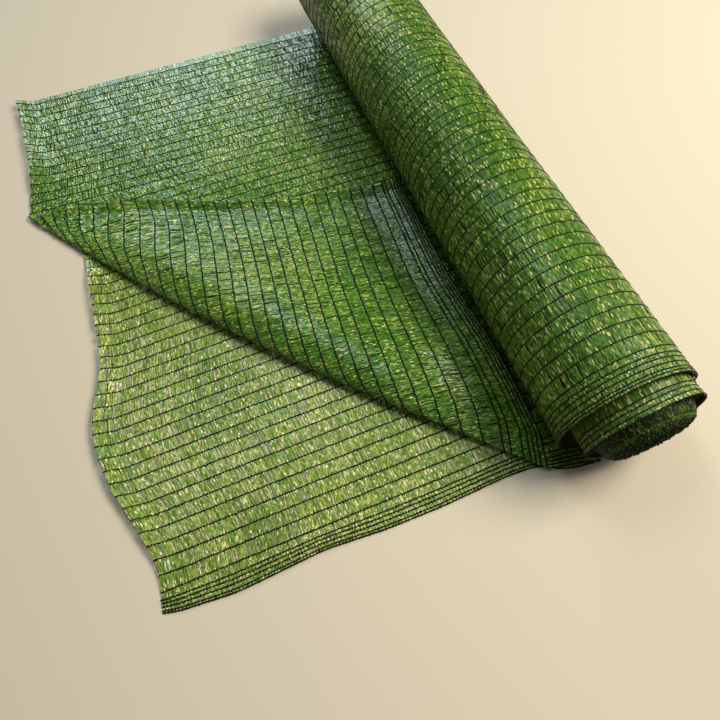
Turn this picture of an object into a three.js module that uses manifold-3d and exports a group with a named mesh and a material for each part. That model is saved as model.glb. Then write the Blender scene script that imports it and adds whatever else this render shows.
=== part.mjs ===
// A roll of knitted privacy screen net, doubled lengthwise, with its loose end run out to the left.
// The loose end lies as two layers joined at their far fold, and the upper layer's near corner is
// folded back over it along a soft diagonal crease.
// Millimetres, +Z up. +X points from the loose end to the roll, +Y runs along the roll to its far end.
import * as THREE from "three";
import { mergeVertices } from "three/addons/utils/BufferGeometryUtils.js";
import Module from "manifold-3d";

// Driving sizes
const NET_WIDTH = 1000;
const ROLL_RADIUS = 89.6;
const ROLL_FLAT_DEPTH = 0.8;
const ROLL_SIDES = 56;
const CLOTH_THICKNESS = 1.2;
const LAYER_RISE = 3.0;
const SEAT_GAP = 0.35;

// The loose end: where the lower layer's edges lie, seen from above, with the near selvedge at y = 0
const FAR_SPREAD = 37;
const LOWER_NEAR_EDGE = [
  { x: -616, y: 11 }, { x: -605, y: 5 }, { x: -520, y: -2 }, { x: -401, y: 5 }, { x: -323, y: -1 },
  { x: -243, y: -2 }, { x: -146, y: 2 }, { x: -100, y: 0 }, { x: -75, y: -18 }, { x: -53, y: -23 },
  { x: -20, y: -26 },
];
const LOWER_CUT_EDGE = [
  { y: 11, x: -616 }, { y: 67, x: -608 }, { y: 135, x: -627 }, { y: 183, x: -645 }, { y: 246, x: -654 },
  { y: 293, x: -653 }, { y: 341, x: -636 }, { y: 378, x: -623 }, { y: 463, x: -618 }, { y: 593, x: -613 },
  { y: 800, x: -640 }, { y: 1040, x: -676 },
];
const UPPER_CUT_EDGE = [
  { y: 725, x: -692 }, { y: 754, x: -686 }, { y: 780, x: -680 }, { y: 836, x: -670 }, { y: 901, x: -672 },
  { y: 961, x: -670 }, { y: 1040, x: -676 },
];
const CUT_CURL_HEIGHT = 12;
const CUT_CURL_REACH = 42;
const CUT_CURL_POWER = 2;
const CORNER_PRESSED = 120;

// The diagonal fold of the upper layer: its crease, and the corner that is laid back beside the roll
const CREASE_NEAR = { x: -93, y: -10 };
const CREASE_TIP = { x: -692, y: 725 };
const CREASE_BOW = 26;
const BOW_FADES = 300;
const BOW_STEPS = 12;
const CREASE_CLEARANCE = 0.05;
const LAID_EDGE = [
  { x: -79, y: 33 }, { x: -77, y: 95 }, { x: -78, y: 180 }, { x: -84, y: 308 }, { x: -76, y: 525 },
  { x: -90, y: 542 }, { x: -175, y: 554 }, { x: -236, y: 570 }, { x: -338, y: 608 },
  { x: -441, y: 656 }, { x: -529, y: 692 }, { x: -609, y: 715 }, { x: -653, y: 721 },
];
const UPPER_NEAR_RIGHT = { x: -31, y: -24 };
const LAID_EDGE_SWELL = 9;
const LAID_EDGE_ZONE = { farX: -150, nearX: -75, nearY: 60, farY: 200 };

// Section across the crease, from the layer beneath, round the nose, to the part laid back on top.
// across is the distance from the crease, rise the height over the layer beneath.
const FOLD_SECTION = [
  { across: 34, rise: 0 }, { across: 20, rise: 0.2 }, { across: 9, rise: 1.4 }, { across: 2.5, rise: 5 },
  { across: 0, rise: 11 }, { across: 3.5, rise: 18 }, { across: 13, rise: 25 }, { across: 30, rise: 32 },
  { across: 52, rise: 34 }, { across: 80, rise: 30 }, { across: 112, rise: 22 }, { across: 150, rise: 14 },
  { across: 200, rise: 8 }, { across: 260, rise: 5 },
];
const FOLD_STEPS = 26;
const LAID_BACK_FROM = 4.16;
const LAID_BACK_STEPS = 5;
const FLAT_FOLD_RISE = 2.8;
const FOLD_OPENS_AT = -30;
const FOLD_FLAT_NEAR = 250;
const FOLD_NARROWS_TIP = 420;
const FOLD_NARROWING = 0.7;
const CURL_CLEARS_FOLD = { from: 20, to: 90 };
const LAID_ROWS = 6;
const UPPER_ROWS = 16;
const UPPER_CROWDING = 0.8;
const ROW_STEPS = 30;
const BASE_INSET = 8;
const LAID_INSET = 6;
const FAR_LIP = 2.4;
const LOWER_COLUMNS = 26;
const LOWER_ROWS = 18;
const LOWER_CROWDING = 1.25;
const BEND_STEPS = 6;
const BEND_LIP = 12;
const BEND_LIP_STEPS = 2;

// Low, soft unevenness of a layer that lies on the surface: lengths of its waves, and their heights
const SWELL_MEAN = 1.1;
const SWELL_FADES = 60;
const SWELLS = [
  { height: 0.8, x1: 96, y1: 260, x2: -410, y2: 118, phase: 0 },
  { height: 0.3, x1: 41, y1: -77, x2: Infinity, y2: 53, phase: 1.3 },
];
const LOWER_SWELL_DROP = 0.1;
const SWELL_UNDER_FOLD = { from: 10, to: -70 };

const half = CLOTH_THICKNESS / 2;
const lowerHeight = half;
const upperHeight = half + LAYER_RISE;
const axisHeight = ROLL_RADIUS - ROLL_FLAT_DEPTH;

function smoothstep(low, high, value) {
  const t = Math.min(1, Math.max(0, (value - low) / (high - low)));
  return t * t * (3 - 2 * t);
}

// Straight-line reading of a short table, from one named column to another
function readTable(table, from, to, value) {
  const rows = [...table].sort((a, b) => a[from] - b[from]);
  if (value <= rows[0][from]) return rows[0][to];
  for (let i = 1; i < rows.length; i += 1) {
    if (value <= rows[i][from]) {
      const share = (value - rows[i - 1][from]) / (rows[i][from] - rows[i - 1][from]);
      return rows[i - 1][to] + share * (rows[i][to] - rows[i - 1][to]);
    }
  }
  return rows[rows.length - 1][to];
}

// The far fold runs a little outwards towards the cut end
const cutReach = -CREASE_TIP.x;
const farEdge = (x) => NET_WIDTH - FAR_SPREAD * (x / cutReach);

// Axes along and across the crease
const creaseLength = Math.hypot(CREASE_TIP.x - CREASE_NEAR.x, CREASE_TIP.y - CREASE_NEAR.y);
const along = new THREE.Vector2(CREASE_TIP.x - CREASE_NEAR.x, CREASE_TIP.y - CREASE_NEAR.y).normalize();
const inward = new THREE.Vector2(along.y, -along.x);

function fromCrease(point) {
  const step = new THREE.Vector2(point.x - CREASE_NEAR.x, point.y - CREASE_NEAR.y);
  return { along: step.dot(along), across: step.dot(inward) };
}

// The middle of the crease sags outwards, and the cloth near it follows
function bowAt(c, w) {
  const t = Math.min(1, Math.max(0, c / creaseLength));
  return CREASE_BOW * Math.sin(Math.PI * t) * (1 - smoothstep(0, BOW_FADES, w));
}

// The same point measured along the cloth, which the sag has moved
function fromBowedCrease(point) {
  const straight = fromCrease(point);
  let w = straight.across;
  for (let i = 0; i < BOW_STEPS; i += 1) w = straight.across + bowAt(straight.along, w);
  return { along: straight.along, across: w };
}

function toPlan(c, w) {
  const across = w - bowAt(c, w);
  return {
    x: CREASE_NEAR.x + along.x * c + inward.x * across,
    y: CREASE_NEAR.y + along.y * c + inward.y * across,
  };
}

// Both ends of a row that runs with the crease at one distance from it, inside a convex outline
function clipRow(outline, w) {
  const hits = [];
  for (let i = 0; i < outline.length; i += 1) {
    const a = outline[i];
    const b = outline[(i + 1) % outline.length];
    if ((a.across - w) * (b.across - w) <= 0 && a.across !== b.across) {
      const share = (w - a.across) / (b.across - a.across);
      hits.push(a.along + share * (b.along - a.along));
    }
  }
  return [Math.min(...hits), Math.max(...hits)];
}

function swell(x, y) {
  let height = SWELL_MEAN;
  for (const wave of SWELLS) {
    height += wave.height * Math.sin(x / wave.x1 + y / wave.y1)
      * Math.sin(x / wave.x2 + y / wave.y2 + wave.phase);
  }
  return height;
}

function cutCurl(x, edge) {
  return CUT_CURL_HEIGHT * Math.pow(1 - smoothstep(0, CUT_CURL_REACH, x - edge), CUT_CURL_POWER);
}

// A closed sheet of even thickness about a grid of points; thicknessAt gives it row by row
function sheetGeometry(rows, thicknessAt) {
  const rowCount = rows.length;
  const columnCount = rows[0].length;
  const positions = [];
  const sideOffset = rowCount * columnCount;
  for (const side of [1, -1]) {
    for (let i = 0; i < rowCount; i += 1) {
      for (let j = 0; j < columnCount; j += 1) {
        const alongRow = new THREE.Vector3().subVectors(
          rows[i][Math.min(j + 1, columnCount - 1)], rows[i][Math.max(j - 1, 0)]);
        const acrossRows = new THREE.Vector3().subVectors(
          rows[Math.min(i + 1, rowCount - 1)][j], rows[Math.max(i - 1, 0)][j]);
        const normal = alongRow.cross(acrossRows).normalize();
        const point = rows[i][j].clone().addScaledVector(normal, side * thicknessAt(i) / 2);
        positions.push(point.x, point.y, point.z);
      }
    }
  }
  const faces = [];
  const at = (i, j, side) => side * sideOffset + i * columnCount + j;
  const quad = (a, b, c, d) => faces.push(a, b, c, a, c, d);
  for (let i = 0; i + 1 < rowCount; i += 1) {
    for (let j = 0; j + 1 < columnCount; j += 1) {
      quad(at(i, j, 0), at(i, j + 1, 0), at(i + 1, j + 1, 0), at(i + 1, j, 0));
      quad(at(i, j, 1), at(i + 1, j, 1), at(i + 1, j + 1, 1), at(i, j + 1, 1));
    }
    const last = columnCount - 1;
    quad(at(i, 0, 0), at(i + 1, 0, 0), at(i + 1, 0, 1), at(i, 0, 1));
    quad(at(i, last, 0), at(i, last, 1), at(i + 1, last, 1), at(i + 1, last, 0));
  }
  const end = rowCount - 1;
  for (let j = 0; j + 1 < columnCount; j += 1) {
    quad(at(0, j, 0), at(0, j, 1), at(0, j + 1, 1), at(0, j + 1, 0));
    quad(at(end, j, 0), at(end, j + 1, 0), at(end, j + 1, 1), at(end, j, 1));
  }
  const geometry = new THREE.BufferGeometry();
  geometry.setAttribute("position", new THREE.Float32BufferAttribute(positions, 3));
  geometry.setIndex(faces);
  return geometry;
}

// The upper layer: rows from its far corner to the crease, round the nose, and back to the laid corner
function upperLayer() {
  const rightX = UPPER_NEAR_RIGHT.x;
  const base = [
    CREASE_NEAR, UPPER_NEAR_RIGHT,
    { x: rightX, y: farEdge(rightX) - FAR_LIP },
    { x: UPPER_CUT_EDGE.at(-1).x, y: farEdge(UPPER_CUT_EDGE.at(-1).x) - FAR_LIP },
    ...UPPER_CUT_EDGE.slice(0, -1).reverse(),
  ].map(fromCrease);
  const laid = [CREASE_NEAR, ...LAID_EDGE, CREASE_TIP].map(fromBowedCrease);
  const deepestBase = Math.max(...base.map((p) => p.across)) - BASE_INSET;
  const deepestLaid = Math.max(...laid.map((p) => p.across)) - LAID_INSET;
  const section = new THREE.SplineCurve(FOLD_SECTION.map((p) => new THREE.Vector2(p.across, p.rise)));
  const sectionStart = FOLD_SECTION[0].across;
  const sectionEnd = FOLD_SECTION.at(-1).across;
  const stations = [];
  for (let i = 0; i < UPPER_ROWS; i += 1) {
    const share = i / UPPER_ROWS;
    const w = deepestBase + (sectionStart - deepestBase) * Math.pow(share, UPPER_CROWDING);
    stations.push({ w, rise: 0, outline: base, laidBack: 0 });
  }
  for (let i = 0; i <= FOLD_STEPS; i += 1) {
    const p = section.getPoint(i / FOLD_STEPS);
    const laidBack = smoothstep(0, LAID_BACK_STEPS, i - LAID_BACK_FROM);
    const w = Math.max(CREASE_CLEARANCE, p.x);
    stations.push({ w, rise: p.y, outline: laidBack > 0.5 ? laid : base, laidBack });
  }
  for (let i = 1; i <= LAID_ROWS; i += 1) {
    const w = sectionEnd + (deepestLaid - sectionEnd) * (i / LAID_ROWS);
    stations.push({ w, rise: FOLD_SECTION.at(-1).rise, outline: laid, laidBack: 1 });
  }
  return stations.map((station) => {
    const [near, far] = clipRow(station.outline, station.w);
    const row = [];
    for (let j = 0; j <= ROW_STEPS; j += 1) {
      const c = near + (far - near) * (j / ROW_STEPS);
      const tipOpen = smoothstep(0, FOLD_NARROWS_TIP, creaseLength - c);
      const open = tipOpen * smoothstep(FOLD_OPENS_AT, FOLD_FLAT_NEAR, c);
      const inFold = 1 - smoothstep(sectionStart, sectionStart * 3, station.w);
      const narrowed = station.w * (1 - inFold * (1 - tipOpen) * FOLD_NARROWING * station.laidBack);
      const flatRise = FLAT_FOLD_RISE * station.laidBack;
      const rise = flatRise + (station.rise - flatRise) * open;
      const plan = toPlan(c, narrowed);
      const edge = readTable(UPPER_CUT_EDGE, "y", "x", plan.y);
      const curl = cutCurl(plan.x, edge) * (1 - station.laidBack)
        * smoothstep(CURL_CLEARS_FOLD.from, CURL_CLEARS_FOLD.to, station.w);
      const edgeSwell = station.laidBack * LAID_EDGE_SWELL
        * smoothstep(LAID_EDGE_ZONE.farX, LAID_EDGE_ZONE.nearX, plan.x)
        * smoothstep(LAID_EDGE_ZONE.nearY, LAID_EDGE_ZONE.farY, plan.y);
      const wave = swell(plan.x, plan.y) * smoothstep(0, SWELL_FADES, rightX - plan.x)
        * smoothstep(0, SWELL_FADES, farEdge(plan.x) - plan.y);
      row.push(new THREE.Vector3(plan.x, plan.y, upperHeight + rise + curl + edgeSwell + wave));
    }
    return row;
  });
}

// The lower layer: columns from the roll to the cut end, each from the near selvedge to the far fold,
// up round that fold and a little way into the upper layer
function lowerLayer() {
  const bendRadius = LAYER_RISE / 2;
  const seatHeight = CLOTH_THICKNESS + SEAT_GAP;
  const seatX = -Math.sqrt(ROLL_RADIUS ** 2 - (axisHeight - seatHeight) ** 2) - SEAT_GAP;
  const rows = [];
  const rowTotal = LOWER_ROWS + BEND_STEPS + BEND_LIP_STEPS + 1;
  for (let i = 0; i < rowTotal; i += 1) rows.push([]);
  for (let j = 0; j <= LOWER_COLUMNS; j += 1) {
    const share = j / LOWER_COLUMNS;
    const reach = 1 - Math.pow(1 - share, LOWER_CROWDING);
    for (let i = 0; i < rowTotal; i += 1) {
      // Under the roll the far fold keeps as clear of it as the upper layer does
      const drawnBack = smoothstep(LOWER_ROWS - 3, LOWER_ROWS - 1, i);
      const rightX = seatX + (UPPER_NEAR_RIGHT.x - seatX) * drawnBack;
      const depth = Math.min(1, i / LOWER_ROWS);
      const guess = readTable(LOWER_CUT_EDGE, "y", "x", depth * NET_WIDTH);
      const x = rightX + (guess - rightX) * reach;
      const nearY = readTable(LOWER_NEAR_EDGE, "x", "y", x);
      const farY = farEdge(x) - bendRadius - half;
      let y = nearY + (farY - nearY) * depth;
      let z = lowerHeight;
      if (i <= LOWER_ROWS) {
        const across = fromCrease({ x, y }).across;
        const open = smoothstep(SWELL_UNDER_FOLD.from, SWELL_UNDER_FOLD.to, across);
        const edge = readTable(LOWER_CUT_EDGE, "y", "x", y);
        const corner = smoothstep(0, CORNER_PRESSED, y - nearY);
        const wave = (swell(x, y) - LOWER_SWELL_DROP) * smoothstep(0, SWELL_FADES, rightX - x);
        z += open * (cutCurl(x, edge) * corner + wave);
      } else if (i <= LOWER_ROWS + BEND_STEPS) {
        const angle = Math.PI * ((i - LOWER_ROWS) / BEND_STEPS);
        y = farY + bendRadius * Math.sin(angle);
        z = lowerHeight + bendRadius * (1 - Math.cos(angle));
      } else {
        y = farY - BEND_LIP * ((i - LOWER_ROWS - BEND_STEPS) / BEND_LIP_STEPS);
        z = upperHeight;
      }
      rows[i].push(new THREE.Vector3(x, y, z));
    }
  }
  return { rows, thinFrom: LOWER_ROWS + BEND_STEPS - 1 };
}

// The roll: rings from its far end to its near end. Each has a place along the roll, a radius and,
// where the inner turns sit off the middle, a shift to the right and up.
const CORE_SHIFT = { right: 8, up: 2.2 };
const ROLL_RINGS = [
  { y: 1003, radius: 30 }, { y: 1004, radius: 60 }, { y: 1003, radius: 84 }, { y: 1000, radius: 89.6 },
  { y: 940, radius: 89.4 }, { y: 820, radius: 89.8 }, { y: 690, radius: 89.2 }, { y: 560, radius: 89.7 },
  { y: 430, radius: 89.3 }, { y: 300, radius: 89.8 }, { y: 180, radius: 89.4 }, { y: 80, radius: 89.6 },
  { y: 14, radius: 89.6 }, { y: 0, radius: 90.6 }, { y: 0, radius: 88.4 }, { y: 16, radius: 87 },
  { y: 15, radius: 75.5, core: true }, { y: -14, radius: 75.5, core: true },
  { y: -27, radius: 77, core: true }, { y: -27, radius: 75, core: true },
  { y: -19, radius: 73, core: true }, { y: -22, radius: 64, core: true },
  { y: -38, radius: 58, core: true }, { y: -44, radius: 46, core: true },
  { y: -45, radius: 22, core: true },
];
const ROLL_LUMPS = [
  { height: 0.35, waves: 3, alongRoll: 170 },
  { height: 0.35, waves: 5, alongRoll: -90 },
];
const LUMPS_FROM_RADIUS = 70;
const PRESSED_SIDE = { from: -0.6, to: 0.2 };
const PRESSED_CLEARANCE = 0.2;

function ringPoint(ring, angle) {
  const up = Math.sin(angle);
  // Uneven winding shows on the upper side only; the underside is pressed round and even
  const free = smoothstep(PRESSED_SIDE.from, PRESSED_SIDE.to, up);
  let lump = 0;
  for (const wave of ROLL_LUMPS) {
    lump += wave.height * Math.sin(wave.waves * angle + ring.y / wave.alongRoll);
  }
  const shift = ring.core ? CORE_SHIFT : { right: 0, up: 0 };
  const pressed = Math.min(ring.radius, ROLL_RADIUS - PRESSED_CLEARANCE);
  const loosened = ring.radius - pressed + (ring.radius > LUMPS_FROM_RADIUS ? lump : 0);
  const radius = pressed + free * loosened;
  const x = shift.right + radius * Math.cos(angle);
  const z = axisHeight + shift.up + radius * up;
  return new THREE.Vector3(x, ring.y, Math.max(0, z));
}

function rollGeometry() {
  const positions = [];
  const faces = [];
  for (const ring of ROLL_RINGS) {
    for (let k = 0; k < ROLL_SIDES; k += 1) {
      // Half a step of turn puts an edge of the polygon, not a corner, at the very bottom
      const point = ringPoint(ring, 2 * Math.PI * ((k + 0.5) / ROLL_SIDES));
      positions.push(point.x, point.y, point.z);
    }
  }
  const at = (i, k) => i * ROLL_SIDES + (k % ROLL_SIDES);
  for (let i = 0; i + 1 < ROLL_RINGS.length; i += 1) {
    for (let k = 0; k < ROLL_SIDES; k += 1) {
      faces.push(at(i, k), at(i, k + 1), at(i + 1, k + 1), at(i, k), at(i + 1, k + 1), at(i + 1, k));
    }
  }
  const farCentre = positions.length / 3;
  positions.push(0, ROLL_RINGS[0].y, axisHeight);
  const nearCentre = farCentre + 1;
  positions.push(CORE_SHIFT.right, ROLL_RINGS.at(-1).y + 1, axisHeight + CORE_SHIFT.up);
  const last = ROLL_RINGS.length - 1;
  for (let k = 0; k < ROLL_SIDES; k += 1) {
    faces.push(farCentre, at(0, k + 1), at(0, k));
    faces.push(nearCentre, at(last, k), at(last, k + 1));
  }
  const geometry = new THREE.BufferGeometry();
  geometry.setAttribute("position", new THREE.Float32BufferAttribute(positions, 3));
  geometry.setIndex(faces);
  return geometry;
}

// Turns a mesh inside in if its faces point inwards
function facingOut(geometry) {
  const position = geometry.getAttribute("position");
  const index = geometry.getIndex().array;
  let volume = 0;
  const corners = [new THREE.Vector3(), new THREE.Vector3(), new THREE.Vector3()];
  for (let f = 0; f < index.length; f += 3) {
    corners.forEach((corner, k) => corner.fromBufferAttribute(position, index[f + k]));
    volume += corners[0].dot(corners[1].clone().cross(corners[2]));
  }
  if (volume < 0) {
    for (let f = 0; f < index.length; f += 3) {
      [index[f + 1], index[f + 2]] = [index[f + 2], index[f + 1]];
    }
  }
  return geometry;
}

function toSolid(wasm, geometry) {
  const merged = mergeVertices(facingOut(geometry), 1e-4);
  return new wasm.Manifold(new wasm.Mesh({
    numProp: 3,
    vertProperties: new Float32Array(merged.getAttribute("position").array),
    triVerts: new Uint32Array(merged.getIndex().array),
  }));
}

function fromSolid(solid) {
  const mesh = solid.getMesh();
  const geometry = new THREE.BufferGeometry();
  geometry.setAttribute("position", new THREE.Float32BufferAttribute(mesh.vertProperties, 3));
  geometry.setIndex([...mesh.triVerts]);
  return geometry;
}

const wasm = await Module();
wasm.setup();

const netGreen = new THREE.MeshStandardMaterial({ color: 0x4c7f2c, roughness: 0.55, metalness: 0 });
const rollGreen = new THREE.MeshStandardMaterial({ color: 0x3c6b24, roughness: 0.6, metalness: 0 });

const lower = lowerLayer();
const lowerGeometry = sheetGeometry(lower.rows, (i) => (i > lower.thinFrom ? half : CLOTH_THICKNESS));
const upperGeometry = sheetGeometry(upperLayer(), () => CLOTH_THICKNESS);
const joined = toSolid(wasm, lowerGeometry).add(toSolid(wasm, upperGeometry));

const looseEnd = new THREE.Mesh(fromSolid(joined), netGreen);
looseEnd.name = "loose_end";

const roll = new THREE.Mesh(facingOut(rollGeometry()), rollGreen);
roll.name = "net_roll";

const net = new THREE.Group();
net.add(roll, looseEnd);
net.position.y = -NET_WIDTH / 2;

const part = new THREE.Group();
part.add(net);

export default part;
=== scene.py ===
"""A roll of knitted privacy screen net with its loose end laid out flat, one corner folded back.

The net is built as it is knitted: flat green tapes lie side by side across rows of black chain
stitches. Sizes and places of the net are in millimetres, with the near selvedge at y = 0, and
new_object turns them into metres in the CAD's frame. The floor, lights and camera are in metres.
"""

import math

import bpy
import numpy as np
from mathutils import Matrix, Vector


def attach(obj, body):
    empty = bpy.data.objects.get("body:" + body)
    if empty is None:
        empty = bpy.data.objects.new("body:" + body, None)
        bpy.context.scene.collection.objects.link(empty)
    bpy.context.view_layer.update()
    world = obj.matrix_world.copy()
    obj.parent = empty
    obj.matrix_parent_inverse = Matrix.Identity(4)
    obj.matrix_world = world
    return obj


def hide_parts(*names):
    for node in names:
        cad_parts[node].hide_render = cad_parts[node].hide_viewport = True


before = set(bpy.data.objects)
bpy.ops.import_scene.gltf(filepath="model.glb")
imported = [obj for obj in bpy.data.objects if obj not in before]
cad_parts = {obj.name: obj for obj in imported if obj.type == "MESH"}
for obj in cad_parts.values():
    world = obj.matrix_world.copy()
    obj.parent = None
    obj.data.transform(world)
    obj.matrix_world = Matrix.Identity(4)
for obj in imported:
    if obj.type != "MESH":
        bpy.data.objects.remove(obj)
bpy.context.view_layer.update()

MM = 0.001

# Sizes of the solids, repeated from the part's source
NET_WIDTH = 1000.0
ROLL_RADIUS = 89.6
AXIS_HEIGHT = 88.8
LOWER_HEIGHT = 0.6
UPPER_HEIGHT = 3.6
BEND_RADIUS = 1.5
FAR_SPREAD = 37.0
CUT_CURL_HEIGHT = 12.0
CUT_CURL_REACH = 42.0
CREASE_NEAR = np.array([-93.0, -10.0])
CREASE_TIP = np.array([-692.0, 725.0])
CREASE_BOW = 26.0
BOW_FADES = 300.0
UPPER_NEAR_RIGHT = np.array([-31.0, -24.0])
LAID_EDGE_SWELL = 9.0
LAID_EDGE_ZONE = {"x": (-150, -75), "y": (60, 200)}
FLAT_FOLD_RISE = 2.8
LOWER_MEAN_CUT = -634.0
UPPER_MEAN_CUT = -676.0
LOWER_LENGTH = 613.0
UPPER_LENGTH = 645.0

LOWER_NEAR_EDGE = np.array([
    (-616, 11), (-605, 5), (-520, -2), (-401, 5), (-323, -1), (-243, -2), (-146, 2), (-100, 0),
    (-75, -18), (-53, -23), (-20, -26),
], float)
LOWER_CUT_EDGE = np.array([
    (11, -616), (67, -608), (135, -627), (183, -645), (246, -654), (293, -653), (341, -636),
    (378, -623), (463, -618), (593, -613), (800, -640), (1040, -676),
], float)
UPPER_CUT_EDGE = np.array([
    (725, -692), (754, -686), (780, -680), (836, -670), (901, -672), (961, -670), (1040, -676),
], float)
# The laid corner, from the near end of the crease up its selvedge, and then along its cut edge
LAID_SELVEDGE = np.array([
    (-93, -10), (-79, 33), (-77, 95), (-78, 180), (-84, 308), (-76, 522),
], float)
LAID_CUT_EDGE = np.array([
    (-76, 522), (-97, 527), (-121, 533), (-157, 545), (-219, 558), (-258, 564), (-318, 588),
    (-382, 611), (-440, 642), (-504, 671), (-554, 692), (-601, 708), (-651, 716), (-690, 722),
], float)
FOLD_SECTION = np.array([
    (34, 0), (20, 0.2), (9, 1.4), (2.5, 5), (0, 11), (3.5, 18), (13, 25), (30, 32), (52, 34),
    (80, 30), (112, 22), (150, 14), (200, 8), (260, 5),
], float)
NOSE_INDEX = 4
SECTION_SAMPLES = 1301
# Along the crease: where the fold opens and where it is whole, from its near end, and how far
# from its tip it narrows, by how much, and on which distances across the crease
FOLD_OPENS = (-30, 250)
FOLD_NARROWS_TIP = 420
FOLD_NARROWING = 0.7
NARROWED_ACROSS = (34, 102)
# The place in the section, counted in half steps, where the cloth begins to lie back
LAID_BACK_FROM = 4.16
LAID_BACK_STEPS = 5

# Low, soft unevenness of a layer that lies flat. For each wave its height, its two lengths
# along x and y, twice, and its phase
SWELL_MEAN = 1.1
SWELLS = (
    (0.8, (96, 260), (-410, 118), 0),
    (0.3, (41, -77), (math.inf, 53), 1.3),
)
SWELL_FADES = 60
LOWER_SWELL_ENDS = -21
LOWER_SWELL_DROP = 0.1
# Across the crease, from in front of the fold to well beneath it, the lower layer is pressed flat
PRESSED_UNDER_FOLD = (10, -70)
CORNER_PRESSED = 120
CURL_CLEARS_FOLD = (20, 90)

# The lower layer's edge at the roll, and how it keeps clear of the roll's far part
LOWER_RIGHT = -20.9
LOWER_RIGHT_CLEARS = 10
LOWER_RIGHT_ZONE = (830, 1000)
SPREAD_FROM = 550

# The knit
LINE_PITCH = 20.0
FIRST_LINE = 33.0
LAST_LOWER_LINE = 49
TAPE_PITCH = 3.5
TAPE_WIDTH = 3.7
STITCH_LENGTH = 4.6
STITCH_SWELLS_AT = 0.36
# Half the width and half the height of a chain, where it swells and where it is thin
BEAD_WIDTHS = (1.55, 0.75)
BEAD_HEIGHTS = (1.15, 0.7)
BEAD_VARIES = {"width": 0.2, "height": 0.12}
# How far a swelling lies from its even place, as a share of a stitch, and how far a chain wanders
# off its line, in line pitches: slowly, over several swellings, and at each of them
STITCH_SHIFT = 0.08
WANDER = {"slow": 0.012, "each": 0.022}
WANDER_REACH = (1, 6)
# How far the thread's ends stand out of the cut edge
THREAD_ENDS = (0.2, 1.6)
# Tones run from 0, the darkest, to 1
MEAN_TONE = 0.4
# The tone of a facet painted as a glint
PAINTED_GLINT_TONE = 0.82
# Steps of a tape in each cell between two lines: fewer in a selvedge and round the bend
LAYER_STEPS = {"line": 5, "edge": 2, "bend": 1}
ROLL_STEPS = {"line": 4, "edge": 2}
CORE_STEPS = {"edge": 2}
# How uneven the tapes are, in millimetres. It changes by the cell between two lines, by two steps
# of a tape together, by each place on it, and by a slow drift over many tapes
TAPE_SHIFT = {"cell": 0.5, "place": 0.16, "drift": 0.3, "drift_between": 0.5, "slant": 0.9}
TAPE_TILT = {"cell": 0.3, "pair": 0.24, "place": 0.12}
TAPE_CREASE = {"cell": 0.34, "pair": 0.34, "place": 0.12}
TAPE_LIFT = {"drift": 0.3, "place": 0.14}
# The share of the relief that a tape has only between the lines
RELIEF_BETWEEN = 0.6
# Over how many places and how many tapes the drift and the patches change
DRIFT_REACH = (5, 4)
PATCH_REACH = (40, 22)
# Shares of a tape's width: how it varies, how far its ridge lies off its middle, how much it is
# pinched on a line, and how much it is drawn in beside a slit
WIDTH_VARIES = 0.08
RIDGE_SHIFT = 0.12
PINCH = 0.22
DRAWN_IN = 0.4
# How soon away from a line a tape is fully drawn in, and how far the slits keep to patches
DRAWN_IN_SOON = 1.7
SLIT_PATCHES = 0.35
TONE_VARIES = {"cell": 0.1, "patch": 0.08, "facet": 0.14}
# Lines of a selvedge, as distances from its edge in line pitches, and the first regular line
# after it
SELVEDGE_LINES = (0.03, 0.30, 0.55, 0.80, 1.15, 1.75, 2.12)
SELVEDGE_WIDTH = 3.15
# On the lower layer, as shares of the way from its first regular line to its edge
LOWER_SELVEDGE = (1.0, 0.89, 0.70, 0.525, 0.358)
# Straight lines of the upper layer, which rise a little to the left. They pass this far from a
# place beside the roll, in pitches from line 0
UPPER_LINE_PITCH = 20.6
UPPER_LINE_SLOPE = math.radians(4)
UPPER_LINE_ORIGIN = (-84, -15)
UPPER_LINE_START = 5.24
FIRST_REGULAR_LINE = 21
FIRST_FLAT_LINE = 29
# Line pitches from the selvedge to the tip, counted along the crease, and how far they lag midway
CREASE_PITCHES = 31.6
CREASE_LAG = 0.02
# Where the lines end on the laid cut edge: line number, distance from the laid corner
LAID_LINE_ENDS = np.array([
    (-2.15, 0), (1, 47), (5, 127), (10, 233), (15, 340), (20, 458), (24, 559), (27, 628), (28, 646),
], float)
LAID_LINE_SAG = 11.0
SAG_ZONE = {"grows": (5, 15), "fades": (28, 23)}
# Between which lines the hidden part of a line bends to the crease ever later, and how much
BEND_ZONE = (14, 24)
BEND_DELAY = 3
SELVEDGE_BOW_FADES = 4.5
LAID_CURL_HEIGHT = 9.0
LAID_CURL_REACH = 22.0
LAID_CURL_POWER = 1.5
LAID_CURL_ZONE = (-694, -640)
LAST_UPPER_LINE = 43
BEND_LINES = 4

# The roll: its radius along it, from a place to a radius
ROLL_RADII = np.array([
    (0, 90.6), (14, 89.6), (80, 89.6), (180, 89.4), (300, 89.8), (430, 89.3), (560, 89.7),
    (690, 89.2), (820, 89.8), (940, 89.4), (1000, 89.6),
])
# The height of its lumps, and for each wave its crests round the roll and the length along it over
# which they turn by a radian
ROLL_LUMPS = 0.35
ROLL_WAVES = ((3, 170), (5, -90))
ROLL_PRESSED = 0.2
ROLL_FREE_FROM = (-0.6, 0.2)
ROLL_LOWEST = 0.25
ROLL_FAR_END = 1003.5
FAR_TURNED_IN = {"from": 996, "over": 8, "by": 5.6}
ROLL_LINES = 49
ROLL_LINE_START = 18.4
ROLL_EDGE_LINES = (0.6, 4.8, 8.8, 16.0, 23.0, 29.2)
# The inner turns stand out at the near end, a little off the roll's axis
CORE_SHIFT = np.array([8.0, 0.0, 2.2])
CORE_RADII = np.array([(-27, 77.0), (-14, 75.5), (15, 75.5)])
CORE_MEAN_RADIUS = 76
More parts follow.
